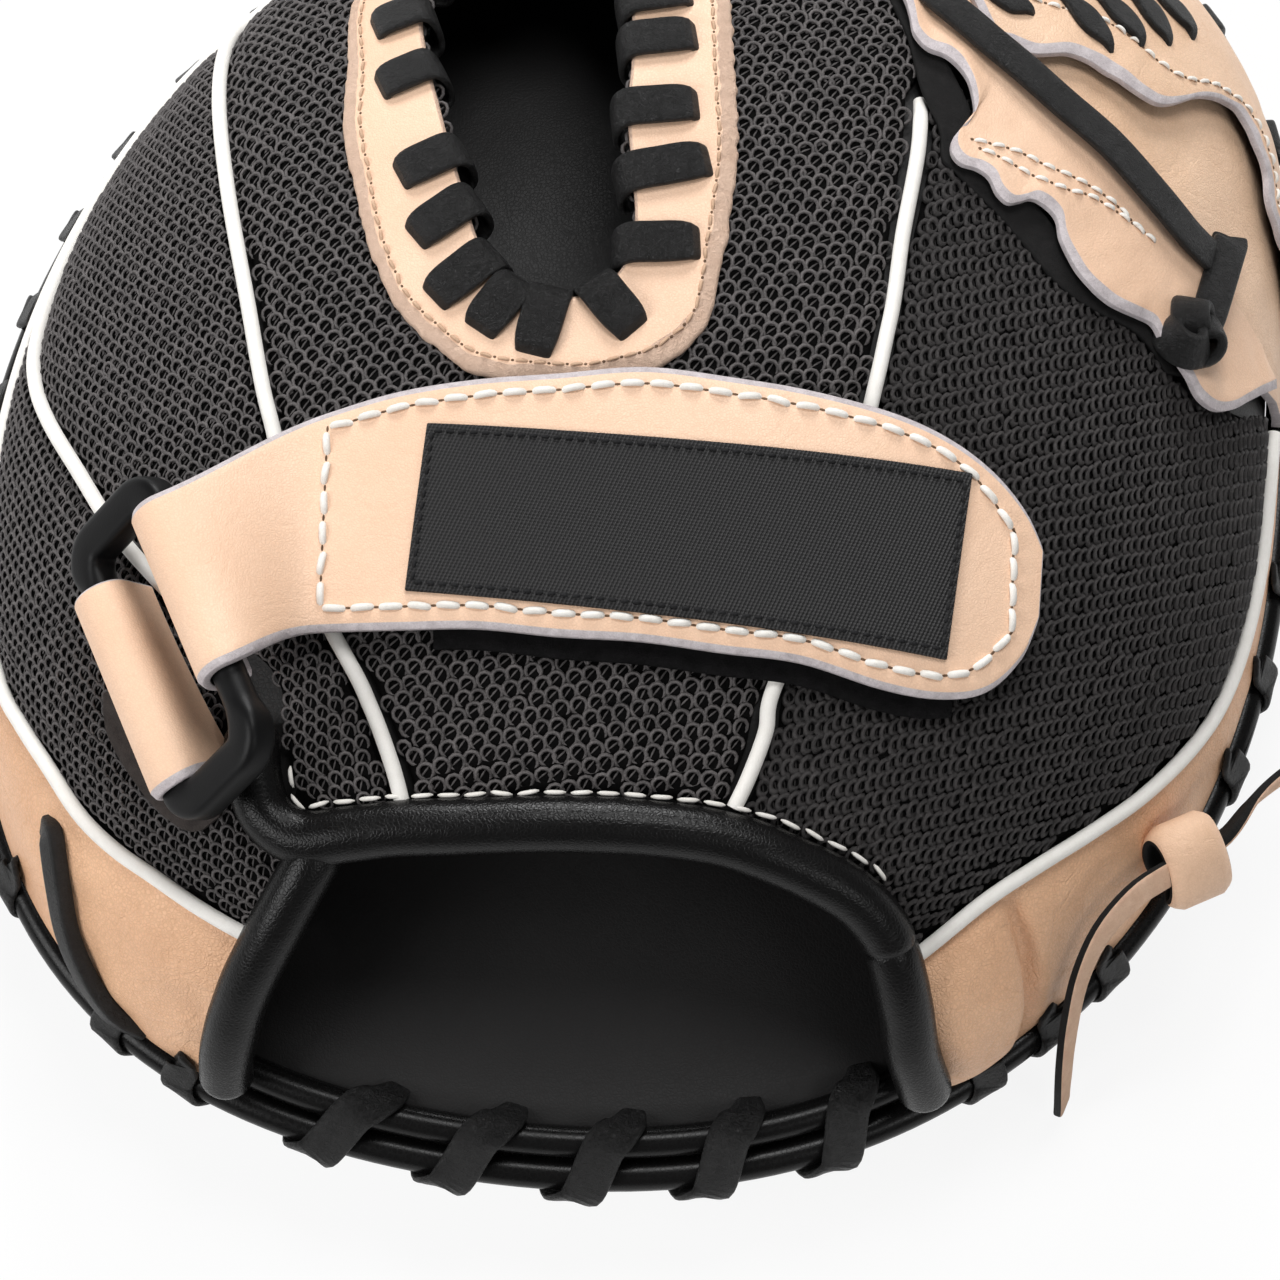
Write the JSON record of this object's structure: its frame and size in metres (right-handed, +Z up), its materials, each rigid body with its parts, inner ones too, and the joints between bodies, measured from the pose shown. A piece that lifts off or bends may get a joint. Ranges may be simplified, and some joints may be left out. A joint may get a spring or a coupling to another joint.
{
  "type": "baseball catchers mitt",
  "caption": "Left-hand catcher's mitt lying on its padded face, with a mesh back, laced leather web, wrist opening and a hook-and-loop wrist strap on a swinging ring.",
  "frame": {"origin": "middle of the plan outline, on the surface that the catching face rests on", "axes": "+X toward the thumb, +Y toward the fingertips, +Z up through the back of the hand"},
  "size_m": [0.2853, 0.2811, 0.1179],
  "materials": {
    "mesh": "open spacer mesh",
    "piping": "matt cord",
    "gusset_leather": "satin",
    "palm_leather": "satin",
    "lining": "satin",
    "roll_leather": "satin, fine grain",
    "lace": "matt",
    "tape": "hook and loop pile",
    "label_weave": "fine twill",
    "ring_plastic": "satin moulded",
    "felt": "felt",
    "thong_leather": "satin",
    "tan_leather": "satin"
  },
  "bodies": {
    "mitt": {"palm_shell": "palm_leather", "palm_pad": "felt", "palm_lining": "lining", "back_lining": "lining", "center_panel": "mesh", "finger_panel": "mesh", "pinky_panel": "mesh", "thumb_panel": "mesh", "finger_gusset": "gusset_leather", "thumb_gusset": "gusset_leather", "finger_piping": "piping", "thumb_piping": "piping", "pinky_piping": "piping", "finger_gusset_piping": "piping", "thumb_gusset_piping": "piping", "wrist_binding": "roll_leather", "finger_side_binding": "roll_leather", "thumb_side_binding": "roll_leather", "finger_opening_trim": "tan_leather", "finger_opening_lacing": "lace", "loop_tape": "tape", "ring_tab": "tan_leather", "web_back_lower": "tan_leather", "web_back_upper": "tan_leather", "web_front": "tan_leather", "web_base_flap": "tan_leather", "web_tie_lace": "lace", "web_lacing": "lace", "rim_welt": "roll_leather", "heel_welt": "roll_leather", "heel_lacing": "lace", "finger_rim_lacing": "lace", "thumb_rim_lacing": "lace", "thumb_tie": "thong_leather", "thumb_tie_tail": "thong_leather", "thumb_tie_end": "thong_leather", "thumb_loop": "thong_leather", "pinky_loop": "thong_leather"},
    "ring": {"strap_ring": "ring_plastic"},
    "strap": {"strap": "tan_leather", "hook_tape": "tape", "strap_label": "label_weave"}
  },
  "joints": [
    {"name": "ring_swing", "type": "hinge", "parent": "mitt", "child": "ring", "pos_m": [-0.0909, -0.05707, 0.09398], "axis": [0.3812, -0.9135, 0.1424], "range_deg": [0, 40]},
    {"name": "strap_swing", "type": "hinge", "parent": "ring", "child": "strap", "pos_m": [-0.07791, -0.04917, 0.10988], "axis": [0.3812, -0.9135, 0.1424], "range_deg": [0, 140]}
  ]
}
